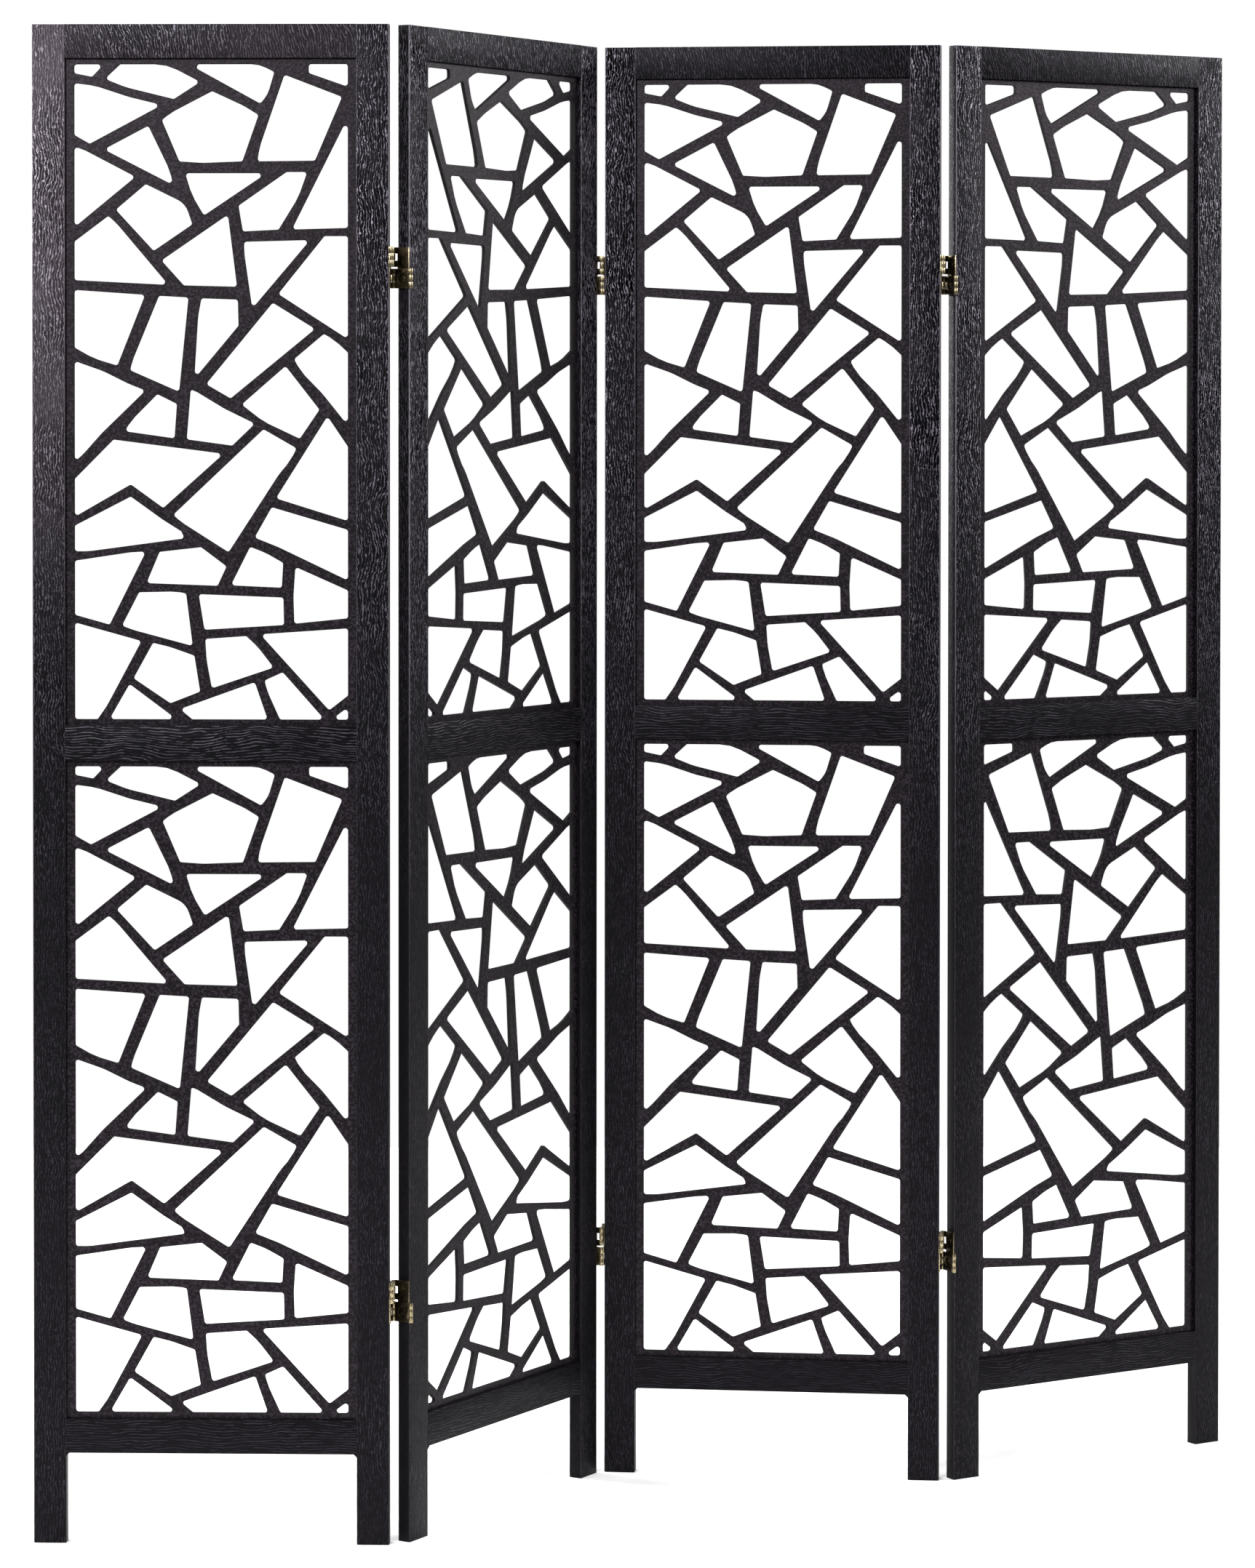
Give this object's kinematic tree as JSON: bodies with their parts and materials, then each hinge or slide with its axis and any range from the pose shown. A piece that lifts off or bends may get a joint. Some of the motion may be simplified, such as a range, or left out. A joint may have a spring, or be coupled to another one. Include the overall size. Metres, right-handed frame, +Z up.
{
  "type": "folding screen",
  "caption": "Tall free-standing folding screen: panels of dark stained wood with open fret boards between rails, standing on their stiles, joined by double-action brass hinges.",
  "frame": {"origin": "on the floor, under the centre of the bounding box of the screen as it stands", "axes": "+X along the row of panels to the viewer's right, +Y away from the viewer, +Z up"},
  "size_m": [1.396, 0.5356, 1.7],
  "materials": {
    "stained_frame": "satin black-brown stain over brushed grain",
    "stained_fret": "satin black-brown paint",
    "antique_brass": "aged satin brass"
  },
  "bodies": {
    "panel_1": {"panel_1_stile_left": "stained_frame", "panel_1_stile_right": "stained_frame", "panel_1_top_rail": "stained_frame", "panel_1_mid_rail": "stained_frame", "panel_1_bottom_rail": "stained_frame", "panel_1_fret_upper": "stained_fret", "panel_1_fret_lower": "stained_fret", "hinge_12_high_leaf_left": "antique_brass", "hinge_12_high_link_upper": "antique_brass", "hinge_12_low_leaf_left": "antique_brass", "hinge_12_low_link_upper": "antique_brass"},
    "panel_2": {"panel_2_stile_left": "stained_frame", "panel_2_stile_right": "stained_frame", "panel_2_top_rail": "stained_frame", "panel_2_mid_rail": "stained_frame", "panel_2_bottom_rail": "stained_frame", "panel_2_fret_upper": "stained_fret", "panel_2_fret_lower": "stained_fret", "hinge_12_high_leaf_right": "antique_brass", "hinge_12_high_link_lower": "antique_brass", "hinge_12_low_leaf_right": "antique_brass", "hinge_12_low_link_lower": "antique_brass", "hinge_23_high_leaf_left": "antique_brass", "hinge_23_high_link_lower": "antique_brass", "hinge_23_low_leaf_left": "antique_brass", "hinge_23_low_link_lower": "antique_brass"},
    "panel_3": {"panel_3_stile_left": "stained_frame", "panel_3_stile_right": "stained_frame", "panel_3_top_rail": "stained_frame", "panel_3_mid_rail": "stained_frame", "panel_3_bottom_rail": "stained_frame", "panel_3_fret_upper": "stained_fret", "panel_3_fret_lower": "stained_fret", "hinge_23_high_leaf_right": "antique_brass", "hinge_23_high_link_upper": "antique_brass", "hinge_23_low_leaf_right": "antique_brass", "hinge_23_low_link_upper": "antique_brass", "hinge_34_high_leaf_left": "antique_brass", "hinge_34_high_link_upper": "antique_brass", "hinge_34_low_leaf_left": "antique_brass", "hinge_34_low_link_upper": "antique_brass"},
    "panel_4": {"panel_4_stile_left": "stained_frame", "panel_4_stile_right": "stained_frame", "panel_4_top_rail": "stained_frame", "panel_4_mid_rail": "stained_frame", "panel_4_bottom_rail": "stained_frame", "panel_4_fret_upper": "stained_fret", "panel_4_fret_lower": "stained_fret", "hinge_34_high_leaf_right": "antique_brass", "hinge_34_high_link_lower": "antique_brass", "hinge_34_low_leaf_right": "antique_brass", "hinge_34_low_link_lower": "antique_brass"}
  },
  "joints": [
    {"name": "fold_12", "type": "hinge", "parent": "panel_1", "child": "panel_2", "pos_m": [-0.29539, -0.24174, 0.85], "axis": [0, 0, 1], "range_deg": [-60.1, 117.9]},
    {"name": "fold_23", "type": "hinge", "parent": "panel_2", "child": "panel_3", "pos_m": [-0.0617, 0.09037, 0.85], "axis": [0, 0, -1], "range_deg": [-65.2, 112.8]},
    {"name": "fold_34", "type": "hinge", "parent": "panel_3", "child": "panel_4", "pos_m": [0.34355, 0.06439, 0.85], "axis": [0, 0, 1], "range_deg": [-38, 140]}
  ]
}
